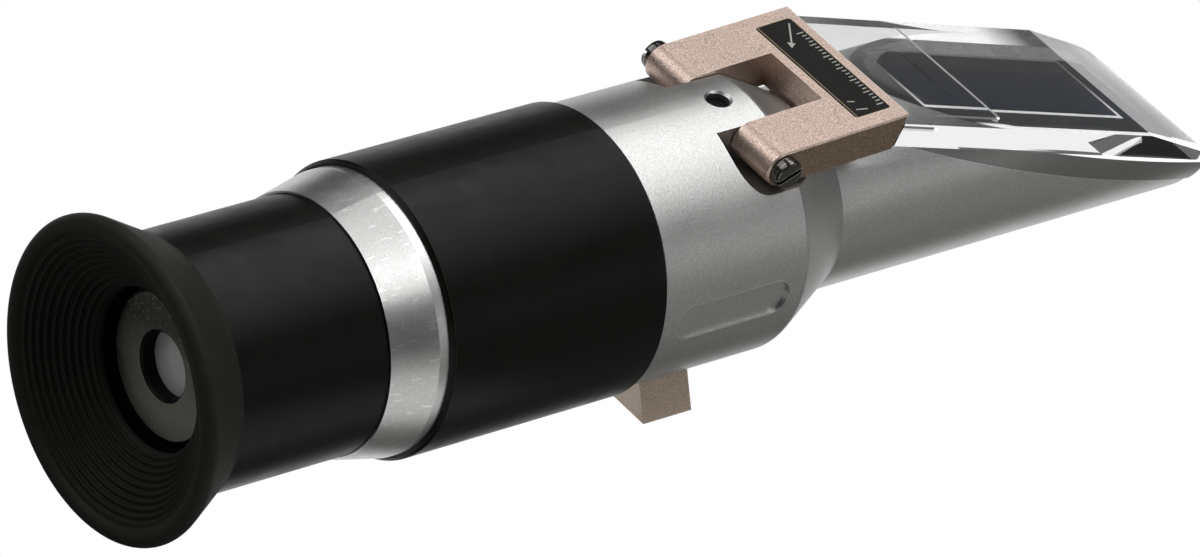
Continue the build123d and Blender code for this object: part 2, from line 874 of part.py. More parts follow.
def make_calibration_screw():
    bottom = objective_radius + objective_shift + objective_clearance
    length = head_radius - plug_recess - plug_length - trim_screw_room - bottom
    screw = extrude(Circle(trim_screw_radius), length)
    slot = Pos(0, 0, length) * Box(3 * trim_screw_radius, slot_width, 2 * slot_depth)
    return Pos(trim_x, 0, bottom) * (screw - slot)


def make_calibration_plug():
    top = head_radius - plug_recess
    return Pos(trim_x, 0, top - plug_length) * extrude(Circle(plug_radius), plug_length)


pieces = {
    "eyecup": make_eyecup(),
    "focus_sleeve": make_focus_sleeve(),
    "lens_carrier": make_lens_carrier(),
    "lens_retainer": make_lens_retainer(),
    "eye_lens": lens(eye_lens_x, eye_lens_edge, 0, eye_lens_bulge, lens_radius, lens_rim),
    "lens_spacer": make_lens_spacer(),
    "field_lens": lens(field_lens_x, field_lens_edge, field_lens_bulge, 0, lens_radius, lens_rim),
    "guide_ring": make_guide_ring(),
    "guide_pin": make_guide_pin(),
    "main_tube": make_main_tube(),
    "grip_sleeve": make_grip_sleeve(),
    "reticle": make_reticle(),
    "reticle_ring": make_reticle_ring(),
    "light_stop": make_light_stop(),
    "head": make_head(),
    "prism_frame": make_prism_frame(),
    "prism_gasket": make_prism_gasket(),
    "prism": prism_body(0),
    "objective_cell": make_objective_cell(),
    "objective_lens": make_objective_lens(),
    "objective_retainer": make_objective_retainer(),
    "bimetal_strip": make_bimetal_strip(),
    "strip_clamp": make_strip_clamp(),
    "strip_screw": make_strip_screw(),
    "calibration_screw": make_calibration_screw(),
    "calibration_plug": make_calibration_plug(),
    "foot_block": make_foot_block(),
    "foot_screws": make_foot_screws(),
    "hinge_screws": make_hinge_screws(),
    "cover_bracket": make_cover_bracket(),
    "label_plate": make_label_plate(),
    "daylight_plate": make_daylight_plate(),
    "plate_screws": make_plate_screws(),
}

# The origin is under the middle of the instrument, on the surface that it lies on
bodies = {}
for name, piece in pieces.items():
    members = piece if isinstance(piece, list) else [piece]
    bodies[name] = Compound([solid for member in members for solid in member.solids()])
extent = Compound(list(bodies.values())).bounding_box()
to_rest = Pos(-extent.center().X, 0, -extent.min.Z)

os.makedirs("parts", exist_ok=True)
for name, body in bodies.items():
    export_step(to_rest * body, f"parts/{name}.step")
    print(name, len(body.solids()), round(body.volume, 1))
print("moved by", to_rest.position)
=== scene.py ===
# %% [markdown]
# # A hand-held refractometer, dressed for its portrait
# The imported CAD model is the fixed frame. Every piece here is in metres, in the same place as the CAD.
# This lesson goes from the camera and the light to materials, then to the pieces that need more than
# a plain solid: the ribbed rubber eyecup, the slotted hinge screws, the label's marks, the bright edge
# of the prism and the ground step across the clear plate.

# %% Load the frame
import math

import bmesh
import bpy
from mathutils import Matrix, Vector


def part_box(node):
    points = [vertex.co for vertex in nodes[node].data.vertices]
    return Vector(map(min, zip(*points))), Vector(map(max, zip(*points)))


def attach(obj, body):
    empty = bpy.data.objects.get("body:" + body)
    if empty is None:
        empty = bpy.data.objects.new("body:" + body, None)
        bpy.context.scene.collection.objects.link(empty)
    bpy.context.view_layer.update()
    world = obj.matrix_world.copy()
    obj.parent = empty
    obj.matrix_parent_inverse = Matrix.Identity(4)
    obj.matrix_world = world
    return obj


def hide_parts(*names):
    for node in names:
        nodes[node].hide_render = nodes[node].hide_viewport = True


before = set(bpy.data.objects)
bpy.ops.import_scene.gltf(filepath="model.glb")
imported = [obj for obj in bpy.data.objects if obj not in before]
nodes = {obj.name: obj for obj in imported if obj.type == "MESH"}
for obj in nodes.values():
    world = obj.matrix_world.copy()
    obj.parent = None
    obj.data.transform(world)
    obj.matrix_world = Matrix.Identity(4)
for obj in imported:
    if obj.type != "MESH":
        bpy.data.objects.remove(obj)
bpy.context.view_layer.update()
scene = bpy.context.scene

# %% [markdown]
# ## Camera
# The view was solved from the circles and the straight edges of the photograph: a long lens, a little
# over a metre away, looking down the instrument from the eyepiece side. The three rows are the
# directions of the picture's right, its down and its depth.

# %% Camera
MM = 0.001
picture_right = Vector((0.773314, -0.600863, 0.202359))
picture_down = Vector((-0.222874, -0.556417, -0.800454))
picture_depth = Vector((0.59356, 0.573902, -0.564202))
camera_place = Vector((-0.62241, -0.595644, 0.598943))

camera_data = bpy.data.cameras.new("portrait_camera")
camera_data.sensor_width = 36
camera_data.lens = 270
camera_data.clip_start = 0.05
camera_data.clip_end = 20
camera = bpy.data.objects.new("portrait_camera", camera_data)
scene.collection.objects.link(camera)
camera.matrix_world = (
    Matrix.Translation(camera_place)
    @ Matrix((picture_right, -picture_down, -picture_depth)).transposed().to_4x4()
)
scene.camera = camera
scene.view_settings.view_transform = "Standard"
print("camera", round(camera_place.length, 3), "m from the origin")

# %% [markdown]
# ## Node helpers
# Every material, shader group and geometry rule below is built with these few functions.

# %% Node helpers
def new_material(name):
    """An empty node material with its Principled shader."""
    material = bpy.data.materials.new(name)
    material.use_nodes = True
    tree = material.node_tree
    shader = next(node for node in tree.nodes if node.type == "BSDF_PRINCIPLED")
    return material, tree, shader


def add_node(tree, kind, values=(), links=(), **settings):
    """A node with its settings, socket values and incoming links."""
    node = tree.nodes.new(kind)
    for key, value in settings.items():
        setattr(node, key, value)
    for socket, value in values:
        node.inputs[socket].default_value = value
    for socket, source in links:
        tree.links.new(source, node.inputs[socket])
    return node


def math_node(tree, operation, *terms, clamp=False):
    """A Math node; each term is a number or a socket."""
    node = tree.nodes.new("ShaderNodeMath")
    node.operation = operation
    node.use_clamp = clamp
    for index, term in enumerate(terms):
        if isinstance(term, (int, float)):
            node.inputs[index].default_value = term
        else:
            tree.links.new(term, node.inputs[index])
    return node.outputs[0]


def spread(tree, value, low, high, to_low=0.0, to_high=1.0, **settings):
    """A clamped change of range."""
    node = add_node(
        tree,
        "ShaderNodeMapRange",
        [("From Min", low), ("From Max", high), ("To Min", to_low), ("To Max", to_high)],
        [("Value", value)],
        **settings,
    )
    return node.outputs[0]


def plate_mesh(name, corners, faces):
    """A mesh object from points and faces."""
    mesh = bpy.data.meshes.new(name)
    mesh.from_pydata(corners, [], faces)
    thing = bpy.data.objects.new(name, mesh)
    scene.collection.objects.link(thing)
    return thing


print("node helpers ready")

# %% [markdown]
# ## Stage and light
# The floor is plain and pale. The camera sees it as the white of the page, while reflections and
# shadows see a lit floor. A long softbox hangs overhead, a small one fills the side that faces the
# camera, one behind the eyepiece lights the funnel and the hinge knuckles, and a dim sky surrounds
# them.
#
# Each patch of painted reflection in the floor's mirror image is given by where it starts and where it
# is full, in millimetres, across the instrument (Y) and along it (X).

# %% Stage and light
FLOOR_HALF = 4.0
FLOOR_DROP = 0.0002
UNDER_Y, UNDER_X = (-15, -8), (-78, -70)
POOL_Y, POOL_X, POOL_LEVEL = (-22, -30), (-12, -25), 0.8


def floor_patch(tree, place, across, along):
    """A patch of the floor with soft borders, as a socket from 0 to 1."""
    shares = []
    for axis, (dark_end, bright_end) in (("Y", across), ("X", along)):
        shares.append(
            spread(
                tree,
                place.outputs[axis],
                dark_end * MM,
                bright_end * MM,
                interpolation_type="SMOOTHSTEP",
            )
        )
    return math_node(tree, "MULTIPLY", *shares)


def page_white(tree, surface_socket):
    """The floor: white for the camera and through clear pieces, and lit for everything else.

    Its mirror image carries painted reflections: white under the instrument, where the page glows at the
    lower silhouettes, and bright in one pool in front of the collar.
    """
    path = add_node(tree, "ShaderNodeLightPath").outputs
    ground = add_node(tree, "ShaderNodeTexCoord").outputs["Object"]
    place = add_node(tree, "ShaderNodeSeparateXYZ", [], [(0, ground)])
    # Painted reflections: white patches of the floor that only reflections see.
    under = floor_patch(tree, place, UNDER_Y, UNDER_X)
    pool = floor_patch(tree, place, POOL_Y, POOL_X)
    pool = math_node(tree, "MULTIPLY", pool, POOL_LEVEL)
    mirrored = math_node(tree, "MAXIMUM", under, pool)
    mirrored = math_node(tree, "MULTIPLY", mirrored, path["Is Glossy Ray"])
    seen = math_node(tree, "MAXIMUM", path["Is Camera Ray"], path["Is Transmission Ray"])
    seen = math_node(tree, "MAXIMUM", seen, mirrored)
    white = add_node(tree, "ShaderNodeEmission", [("Color", (1, 1, 1, 1))])
    mix = add_node(
        tree, "ShaderNodeMixShader", [], [(0, seen), (1, surface_socket), (2, white.outputs[0])]
    )
    return mix.outputs[0]


floor_corners = [
    (x * FLOOR_HALF, y * FLOOR_HALF, 0) for x, y in ((-1, -1), (1, -1), (1, 1), (-1, 1))
]
floor = plate_mesh("floor", floor_corners, [(0, 1, 2, 3)])
floor.location.z = -FLOOR_DROP
floor_material, tree, shader = new_material("floor")
shader.inputs["Base Color"].default_value = (0.35, 0.35, 0.34, 1)
shader.inputs["Roughness"].default_value = 0.9
shader.inputs["Specular IOR Level"].default_value = 0.0
output = next(node for node in tree.nodes if node.type == "OUTPUT_MATERIAL")
tree.links.new(page_white(tree, shader.outputs[0]), output.inputs["Surface"])
floor.data.materials.append(floor_material)

world = bpy.data.worlds.new("studio")
world.use_nodes = True
tree = world.node_tree
sky = tree.nodes["Background"]
sky.inputs["Color"].default_value = (0.97, 0.98, 1.0, 1)
SKY_LEVEL, SKY_THROUGH_PLATE = 0.06, 0.14
through = add_node(tree, "ShaderNodeLightPath").outputs["Is Transmission Ray"]
sky_level = spread(tree, through, 0.0, 1.0, SKY_LEVEL, SKY_THROUGH_PLATE)
tree.links.new(sky_level, sky.inputs["Strength"])
scene.world = world


def softbox(name, direction, long_side, distance, size, power, target=(0.0, 0.0, 0.02)):
    """A rectangular area light that faces the instrument; its first size lies along long_side."""
    light = bpy.data.lights.new(name, "AREA")
    light.shape = "RECTANGLE"
    light.size, light.size_y = size
    light.energy = power
    lamp = bpy.data.objects.new(name, light)
    scene.collection.objects.link(lamp)
    away = Vector(direction).normalized()
    lamp.location = Vector(target) + away * distance
    across = away.cross(Vector(long_side)).normalized()
    along = across.cross(away)
    lamp.rotation_euler = Matrix((along, across, away)).transposed().to_euler()
    return lamp


softbox("key", (0.42, -0.07, 0.9), (0.22, 0.97, 0), 1.1, (1.8, 0.5), 9.5)
softbox("fill", (0.62, -0.76, 0.2), (0, 0, 1), 1.6, (0.7, 0.7), 1.1)
softbox("rear", (-0.38, 0.45, 0.72), (0.3, 0.95, 0), 1.2, (1.0, 0.9), 5.5)
print("stage ready")

# %% [markdown]
# ## Shared effects
# Node groups carry the small detail. Each reads Object coordinates, which are the metres of the
# frame because every piece sits at the origin.

# %% Shared effects
FLOAT, COLOUR, VECTOR = "NodeSocketFloat", "NodeSocketColor", "NodeSocketVector"


def group_tree(name, inputs, outputs):
    """A shader node group with named sockets; returns the tree, its input node and its output node."""
    tree = bpy.data.node_groups.new(name, "ShaderNodeTree")
    for label, kind, value in inputs:
        socket = tree.interface.new_socket(label, in_out="INPUT", socket_type=kind)
        socket.default_value = value
    for label, kind in outputs:
        tree.interface.new_socket(label, in_out="OUTPUT", socket_type=kind)
    return tree, tree.nodes.new("NodeGroupInput"), tree.nodes.new("NodeGroupOutput")


def noise(tree, place, scale, detail=2.0):
    """A noise value; scale is a number or a socket."""
    node = add_node(
        tree,
        "ShaderNodeTexNoise",
        [("Detail", detail), ("Roughness", 0.6)],
        [("Vector", place)],
    )
    if isinstance(scale, (int, float)):
        node.inputs["Scale"].default_value = scale
    else:
        tree.links.new(scale, node.inputs["Scale"])
    return node.outputs["Fac"]


def grain_group():
    """Fine grain: a bump, with brightness and gloss that change a little over the surface."""
    tree, given, out = group_tree(
        "fine_grain",
        [
            ("Colour", COLOUR, (0.5, 0.5, 0.5, 1)),
            ("Grain size", FLOAT, 0.2),
            ("Grain height", FLOAT, 0.01),
            ("Sparkle", FLOAT, 0.1),
            ("Cloud size", FLOAT, 4.0),
            ("Mottle", FLOAT, 0.1),
            ("Roughness", FLOAT, 0.4),
            ("Roughness change", FLOAT, 0.05),
        ],
        [("Colour", COLOUR), ("Roughness", FLOAT), ("Normal", VECTOR)],
    )
    get = given.outputs
    place = add_node(tree, "ShaderNodeTexCoord").outputs["Object"]
    grain = noise(tree, place, math_node(tree, "DIVIDE", 1 / MM, get["Grain size"]))
    cloud = noise(tree, place, math_node(tree, "DIVIDE", 1 / MM, get["Cloud size"]), 4.0)
    grain_swing = spread(tree, grain, 0.3, 0.7, -1.0, 1.0)
    cloud_swing = spread(tree, cloud, 0.3, 0.7, -1.0, 1.0)
    sparkle = math_node(tree, "MULTIPLY", grain_swing, get["Sparkle"])
    light = math_node(tree, "MULTIPLY_ADD", cloud_swing, get["Mottle"], sparkle)
    shade = add_node(
        tree,
        "ShaderNodeVectorMath",
        [],
        [(0, get["Colour"]), ("Scale", math_node(tree, "ADD", light, 1.0))],
        operation="SCALE",
    )
    gloss = math_node(
        tree, "MULTIPLY_ADD", cloud_swing, get["Roughness change"], get["Roughness"], clamp=True
    )
    bump = add_node(
        tree,
        "ShaderNodeBump",
        [("Strength", 1.0)],
        [("Height", grain), ("Distance", math_node(tree, "MULTIPLY", get["Grain height"], MM))],
    )
    tree.links.new(shade.outputs[0], out.inputs["Colour"])
    tree.links.new(gloss, out.inputs["Roughness"])
    tree.links.new(bump.outputs[0], out.inputs["Normal"])
    return tree


def mix_colours(tree, share, first, second):
    """A colour mix; returns the result's socket."""
    node = add_node(tree, "ShaderNodeMix", data_type="RGBA")
    tree.links.new(share, node.inputs["Factor"])
    tree.links.new(first, node.inputs[6])
    tree.links.new(second, node.inputs[7])
    return node.outputs[2]


def edge_group():
    """A second colour along sharp edges: a painted highlight where the rounded edges catch the light,
    broken up by noise.
    """
    tree, given, out = group_tree(
        "edge_finish",
        [
            ("Colour", COLOUR, (0.5, 0.5, 0.5, 1)),
            ("Edge colour", COLOUR, (0.9, 0.9, 0.9, 1)),
            ("Width", FLOAT, 0.2),
            ("Amount", FLOAT, 0.5),
        ],
        [("Colour", COLOUR)],
    )
    get = given.outputs
    radius = math_node(tree, "MULTIPLY", get["Width"], MM)
    rounded = add_node(tree, "ShaderNodeBevel", [], [("Radius", radius)], samples=6)
    plain = add_node(tree, "ShaderNodeNewGeometry")
    facing = add_node(
        tree,
        "ShaderNodeVectorMath",
        [],
        [(0, rounded.outputs[0]), (1, plain.outputs["Normal"])],
        operation="DOT_PRODUCT",
    )
    mask = spread(tree, facing.outputs["Value"], 0.995, 0.85)
    place = add_node(tree, "ShaderNodeTexCoord").outputs["Object"]
    broken = spread(tree, noise(tree, place, 900.0, 3.0), 0.35, 0.6, 0.35, 1.0)
    painted_highlight = math_node(tree, "MULTIPLY", mask, broken)
    share = math_node(tree, "MULTIPLY", painted_highlight, get["Amount"], clamp=True)
    mixed = mix_colours(tree, share, get["Colour"], get["Edge colour"])
    tree.links.new(mixed, out.inputs["Colour"])
    return tree


def scratch_group():
    """Short fine scratches and pits in a satin metal, as a second colour."""
    tree, given, out = group_tree(
        "fine_scratches",
        [
            ("Colour", COLOUR, (0.5, 0.5, 0.5, 1)),
            ("Scratch colour", COLOUR, (0.9, 0.9, 0.9, 1)),
            ("Amount", FLOAT, 0.5),
        ],
        [("Colour", COLOUR)],
    )
    get = given.outputs
    place = add_node(tree, "ShaderNodeTexCoord").outputs["Object"]
    shares = []
    for turn, squeeze in ((0.5, 9.0), (-0.8, 7.0)):
        turned = add_node(
            tree,
            "ShaderNodeMapping",
            [("Rotation", (turn, 0.3, turn)), ("Scale", (1.0, squeeze, squeeze))],
            [("Vector", place)],
        )
        shares.append(spread(tree, noise(tree, turned.outputs[0], 240.0, 1.0), 0.67, 0.72))
    pits = spread(tree, noise(tree, place, 1400.0, 1.0), 0.7, 0.74, 0.0, 0.8)
    marks = math_node(tree, "MAXIMUM", math_node(tree, "MAXIMUM", *shares), pits)
    share = math_node(tree, "MULTIPLY", marks, get["Amount"], clamp=True)
    mixed = mix_colours(tree, share, get["Colour"], get["Scratch colour"])
    tree.links.new(mixed, out.inputs["Colour"])
    return tree


def streak_group():
    """Long shallow waves along the tube, which break up its reflections."""
    tree, given, out = group_tree(
        "long_streaks",
        [("Height", FLOAT, 0.02), ("Normal", VECTOR, (0, 0, 0))],
        [("Normal", VECTOR)],
    )
    place = add_node(tree, "ShaderNodeTexCoord").outputs["Object"]
    stretched = add_node(
        tree, "ShaderNodeMapping", [("Scale", (0.12, 1.0, 1.0))], [("Vector", place)]
    )
    waves = noise(tree, stretched.outputs[0], 230.0, 2.0)
    bump = add_node(
        tree,
        "ShaderNodeBump",
        [("Strength", 1.0)],
        [
            ("Height", waves),
            ("Distance", math_node(tree, "MULTIPLY", given.outputs["Height"], MM)),
            ("Normal", given.outputs["Normal"]),
        ],
    )
    tree.links.new(bump.outputs[0], out.inputs["Normal"])
    return tree


def blend_group():
    """How far a point lies along a direction, from 0 to 1, between two distances in millimetres."""
    tree, given, out = group_tree(
        "distance_blend",
        [
            ("Origin", VECTOR, (0, 0, 0)),
            ("Direction", VECTOR, (0, 0, 1)),
            ("From", FLOAT, 0.0),
            ("To", FLOAT, 1.0),
        ],
        [("Share", FLOAT)],
    )
    get = given.outputs
    place = add_node(tree, "ShaderNodeTexCoord").outputs["Object"]
    away = add_node(
        tree, "ShaderNodeVectorMath", [], [(0, place), (1, get["Origin"])], operation="SUBTRACT"
    )
    along = add_node(
        tree,
        "ShaderNodeVectorMath",
        [],
        [(0, away.outputs[0]), (1, get["Direction"])],
        operation="DOT_PRODUCT",
    )
    share = add_node(
        tree,
        "ShaderNodeMapRange",
        [],
        [
            ("Value", math_node(tree, "DIVIDE", along.outputs["Value"], MM)),
            ("From Min", get["From"]),
            ("From Max", get["To"]),
        ],
    )
    tree.links.new(share.outputs[0], out.inputs["Share"])
    return tree


GRAIN = grain_group()
EDGE = edge_group()
SCRATCH = scratch_group()
STREAK = streak_group()
BLEND = blend_group()
print("groups:", ", ".join(group.name for group in (GRAIN, EDGE, SCRATCH, STREAK, BLEND)))

# %% [markdown]
# ## Where things are
# Three small rulers turn the drawing's millimetres into the frame: along the optical axis from the
# eyecup's rim, along the fork from its hinge, and along the slanted prism face.

# %% Where things are
rim_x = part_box("eyecup")[0].x
axis_z = sum(corner.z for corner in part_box("eyecup")) / 2
SIDE = Vector((0, 1, 0))
FORK_LIFT = math.radians(2.2)
FACE_SLOPE = math.radians(16.9)
HINGE_X, HINGE_Z = 85.0, 14.35
FORK_FRONT, FORK_TOP = 18.4, 2.3
PLATE_DEPTH = 4.348


def spot(x, y, z):
    """x from the eyecup's rim, y to the far side, z over the optical axis, in millimetres."""
    return Vector((rim_x + x * MM, y * MM, axis_z + z * MM))


hinge = spot(HINGE_X, 0, HINGE_Z)
fork_along = Vector((math.cos(FORK_LIFT), 0, math.sin(FORK_LIFT)))
fork_up = Vector((-math.sin(FORK_LIFT), 0, math.cos(FORK_LIFT)))
slope_along = Vector((math.cos(FACE_SLOPE), 0, -math.sin(FACE_SLOPE)))
slope_up = Vector((math.sin(FACE_SLOPE), 0, math.cos(FACE_SLOPE)))


def on_fork(u, y, w):
    """u along the fork from its hinge, w over the hinge."""
    return hinge + fork_along * u * MM + SIDE * y * MM + fork_up * w * MM


fork_front = on_fork(FORK_FRONT, 0, FORK_TOP)
face_origin = fork_front - slope_up * PLATE_DEPTH * MM


def on_face(t, y, n):
    """t along the prism face from the fork's front, n over the clear plate's underside."""
    return face_origin + slope_along * t * MM + SIDE * y * MM + slope_up * n * MM


print("hinge at", [round(v, 4) for v in hinge], "face starts at", [round(v, 4) for v in face_origin])

# %% [markdown]
# ## Materials
# Each finish is one call: a colour, how metallic and how rough it is, and its grain. The shared
# groups then add painted edge highlights, scratches or streaks to the ones that show them. The light
# that the real instrument has under its clear plate can't pass the plate's shader, so the frame's
# bright strips, the seal and the prism's edge give off a little light of their own, as painted light.

# %% Materials
SIDES_FROM, SIDES_TO = 11.0, 11.4
STRIP_FROM, STRIP_TO = 8.8, 9.3
STRIP_FRONT, STRIP_BACK, STRIP_FRONT_LEVEL, STRIP_GLOW = (52.5, 56), (-44, -36), 0.2, 0.9
SEAT_FROM, SEAT_TO = -0.18, -0.1
SHADE_FROM, SHADE_TO = -4.0, 7.5


def finish(name, colour, metallic, roughness, grain, cloud=4.0, **fixed):
    """A material from the grain group. grain is (size mm, height mm, sparkle, mottle, gloss change)."""
    material, tree, shader = new_material(name)
    size, height, sparkle, mottle, change = grain
    detail = add_node(tree, "ShaderNodeGroup", node_tree=GRAIN)
    detail.name = "detail"
    for label, value in (
        ("Colour", (*colour, 1)),
        ("Grain size", size),
        ("Grain height", height),
        ("Sparkle", sparkle),
        ("Cloud size", cloud),
        ("Mottle", mottle),
        ("Roughness", roughness),
        ("Roughness change", change),
    ):
        detail.inputs[label].default_value = value
    tree.links.new(detail.outputs["Colour"], shader.inputs["Base Color"])
    tree.links.new(detail.outputs["Roughness"], shader.inputs["Roughness"])
    tree.links.new(detail.outputs["Normal"], shader.inputs["Normal"])
    shader.inputs["Metallic"].default_value = metallic
    for label, value in fixed.items():
        shader.inputs[label.replace("_", " ")].default_value = value
    return material


def parts_of(material):
    """The node tree and the main shader of a finish."""
    tree = material.node_tree
    return tree, next(node for node in tree.nodes if node.type == "BSDF_PRINCIPLED")


def insert(material, group, **values):
    """Puts a colour group between a finish's colour and its shader."""
    tree, shader = parts_of(material)
    before = shader.inputs["Base Color"].links[0].from_socket
    node = add_node(tree, "ShaderNodeGroup", node_tree=group)
    for label, value in values.items():
        node.inputs[label.replace("_", " ")].default_value = value
    tree.links.new(before, node.inputs["Colour"])
    tree.links.new(node.outputs["Colour"], shader.inputs["Base Color"])
    return material


def streaked(material, height):
    """Adds the long streaks to a finish's grain."""
    tree, shader = parts_of(material)
    node = add_node(tree, "ShaderNodeGroup", node_tree=STREAK)
    node.inputs["Height"].default_value = height
    tree.links.new(shader.inputs["Normal"].links[0].from_socket, node.inputs["Normal"])
    tree.links.new(node.outputs["Normal"], shader.inputs["Normal"])
    return material


def toned(material, second, origin, direction, start, end, glow=0.0):
    """Paints light and shade along a direction: turns a finish's colour into a second one.

    The glow stands for the light that falls through the clear plate.
    """
    tree, shader = parts_of(material)
    grain = tree.nodes["detail"]
    first = plain_colour(tree, grain.inputs["Colour"].default_value[:3])
    share = share_along(tree, origin, direction, start, end)
    mixed = mix_colours(tree, share, first, plain_colour(tree, second))
    tree.links.new(mixed, grain.inputs["Colour"])
    if glow:
        tree.links.new(grain.outputs["Colour"], shader.inputs["Emission Color"])
        shader.inputs["Emission Strength"].default_value = glow
    return material


def plain_colour(tree, colour):
    """A fixed colour as a socket."""
    node = add_node(tree, "ShaderNodeRGB")
    node.outputs[0].default_value = (*colour, 1)
    return node.outputs[0]


def share_along(tree, origin, direction, start, end):
    """How far a point lies along a direction, as a socket from 0 to 1."""
    node = add_node(tree, "ShaderNodeGroup", node_tree=BLEND)
    node.inputs["Origin"].default_value = origin
    node.inputs["Direction"].default_value = direction
    node.inputs["From"].default_value = start
    node.inputs["To"].default_value = end
    return node.outputs["Share"]


def paint_side_shade(material, dark):
    """Paints shade on the fork's outer sides, which turn a deeper colour."""
    tree = material.node_tree
    normal = add_node(tree, "ShaderNodeNewGeometry").outputs["Normal"]
    facing = add_node(tree, "ShaderNodeSeparateXYZ", [], [(0, normal)])
    share = spread(tree, math_node(tree, "ABSOLUTE", facing.outputs["Y"]), 0.6, 0.95)
    outside = math_node(
        tree,
        "MAXIMUM",
        share_along(tree, face_origin, SIDE, SIDES_FROM, SIDES_TO),
        share_along(tree, face_origin, -SIDE, SIDES_FROM, SIDES_TO),
    )
    share = math_node(tree, "MULTIPLY", share, outside)
    grain = tree.nodes["detail"]
    plain = plain_colour(tree, grain.inputs["Colour"].default_value[:3])
    mixed = mix_colours(tree, share, plain, plain_colour(tree, dark))
    tree.links.new(mixed, grain.inputs["Colour"])


def bright_strips(material, bright, dark_inner, pale_inner):
    """Paints light on the seat outside the seal, where light comes in through the clear plate's edges.

    Between the strips, painted light takes the seat from a dark colour at the near side to a pale one at
    the far side.
    """
    tree, shader = parts_of(material)
    top = share_along(tree, face_origin, slope_up, SEAT_FROM, SEAT_TO)
    near = share_along(tree, face_origin, -SIDE, STRIP_FROM, STRIP_TO)
    far = share_along(tree, face_origin, SIDE, STRIP_FROM, STRIP_TO)
    before_end = share_along(tree, face_origin, -slope_along, *STRIP_BACK)
    strips = math_node(tree, "MULTIPLY_ADD", far, before_end, near)
    front = share_along(tree, face_origin, slope_along, *STRIP_FRONT)
    front = math_node(tree, "MULTIPLY", front, STRIP_FRONT_LEVEL)
    strips = math_node(tree, "MAXIMUM", strips, front)
    strips = math_node(tree, "MULTIPLY", strips, top, clamp=True)
    grain = tree.nodes["detail"]
    side = plain_colour(tree, grain.inputs["Colour"].default_value[:3])
    across = share_along(tree, face_origin, SIDE, SHADE_FROM, SHADE_TO)
    inner = mix_colours(
        tree, across, plain_colour(tree, dark_inner), plain_colour(tree, pale_inner)
    )
    outer = plain_colour(tree, bright)
    under_plate = mix_colours(tree, top, side, inner)
    tree.links.new(mix_colours(tree, strips, under_plate, outer), grain.inputs["Colour"])
    unlit = plain_colour(tree, (0, 0, 0))
    tree.links.new(mix_colours(tree, strips, unlit, outer), shader.inputs["Emission Color"])
    shader.inputs["Emission Strength"].default_value = STRIP_GLOW


def clear(name, colour, ior, roughness=0.0, transmission=1.0):
    """Clear glass or plastic, with a trace of haze."""
    material = finish(name, colour, 0.0, roughness, (0.4, 0.0, 0.0, 0.01, 0.004))
    shader = parts_of(material)[1]
    shader.inputs["Transmission Weight"].default_value = transmission
    shader.inputs["IOR"].default_value = ior
    return material


pale_edge = (0.95, 0.95, 0.94, 1)

blasted = finish("blasted_alloy", (0.53, 0.53, 0.52), 1.0, 0.4, (0.26, 0.02, 0.13, 0.02, 0.03), 9.0)
# The edge group paints highlights along the sharp edges of the metals, the grip and the screws.
insert(blasted, EDGE, Edge_colour=pale_edge, Width=0.25, Amount=0.8)
plated = finish("satin_plate", (0.57, 0.57, 0.56), 1.0, 0.35, (0.22, 0.008, 0.1, 0.04, 0.05), 6.0)
insert(plated, SCRATCH, Scratch_colour=(0.9, 0.9, 0.88, 1), Amount=0.45)
insert(plated, EDGE, Edge_colour=pale_edge, Width=0.2, Amount=0.6)
rose = finish("rose_alloy", (0.6, 0.465, 0.4), 0.9, 0.38, (0.18, 0.04, 0.45, 0.03, 0.04), 5.0)
# Painted shade: the fork's outer sides are darker.
paint_side_shade(rose, (0.33, 0.24, 0.17))
insert(rose, EDGE, Edge_colour=(0.98, 0.86, 0.78, 1), Width=0.16, Amount=1.0)
foot_rose = finish("foot_rose", (0.88, 0.69, 0.55), 0.2, 0.45, (0.2, 0.04, 0.25, 0.03, 0.04), 5.0)
insert(foot_rose, EDGE, Edge_colour=(0.98, 0.88, 0.8, 1), Width=0.16, Amount=0.8)

dull = {"Specular_IOR_Level": 0.12}
jet = (0.005, 0.005, 0.004)
black_barrel = finish("black_barrel", jet, 0.0, 0.36, (0.25, 0.002, 0.1, 0.1, 0.05), **dull)
streaked(black_barrel, 0.05)
grip_black = finish("grip_black", jet, 0.0, 0.36, (0.2, 0.002, 0.1, 0.1, 0.05), **dull)
streaked(grip_black, 0.06)
insert(grip_black, EDGE, Edge_colour=(0.16, 0.12, 0.08, 1), Width=0.12, Amount=0.8)
rubber_grain = (0.15, 0.006, 0.2, 0.1, 0.06)
cup_rubber = finish("cup_rubber", (0.022, 0.021, 0.0175), 0.0, 0.6, rubber_grain, **dull)
plug_rubber = finish("plug_rubber", (0.004, 0.004, 0.004), 0.0, 0.7, rubber_grain, **dull)
inner_black = finish(
    "inner_black", (0.006, 0.006, 0.006), 0.0, 0.5, (0.2, 0.003, 0.1, 0.1, 0.05), **dull
)

retainer_grain = (0.12, 0.004, 0.1, 0.05, 0.05)
retainer_grey = finish("retainer_grey", (0.34, 0.33, 0.29), 0.9, 0.36, retainer_grain)
# Painted shade: the retainer turns darker towards the top.
toned(retainer_grey, (0.07, 0.068, 0.06), spot(0, 0, 0), Vector((0, 0.3, 1)), -5.5, 5.0)
insert(retainer_grey, SCRATCH, Scratch_colour=(0.5, 0.48, 0.43, 1), Amount=0.3)
frame_grain = (0.12, 0.004, 0.12, 0.05, 0.05)
frame_grey = finish("frame_grey", (0.27, 0.27, 0.26), 0.85, 0.38, frame_grain)
# Painted light: glowing bright strips at the seat's edges, and a seat that pales towards the far side.
bright_strips(frame_grey, (0.95, 0.95, 0.94), (0.015, 0.018, 0.025), (0.35, 0.35, 0.34))
seal_grey = finish("seal_grey", (0.008, 0.01, 0.013), 0.0, 0.5, (0.3, 0.01, 0.35, 0.3, 0.1))
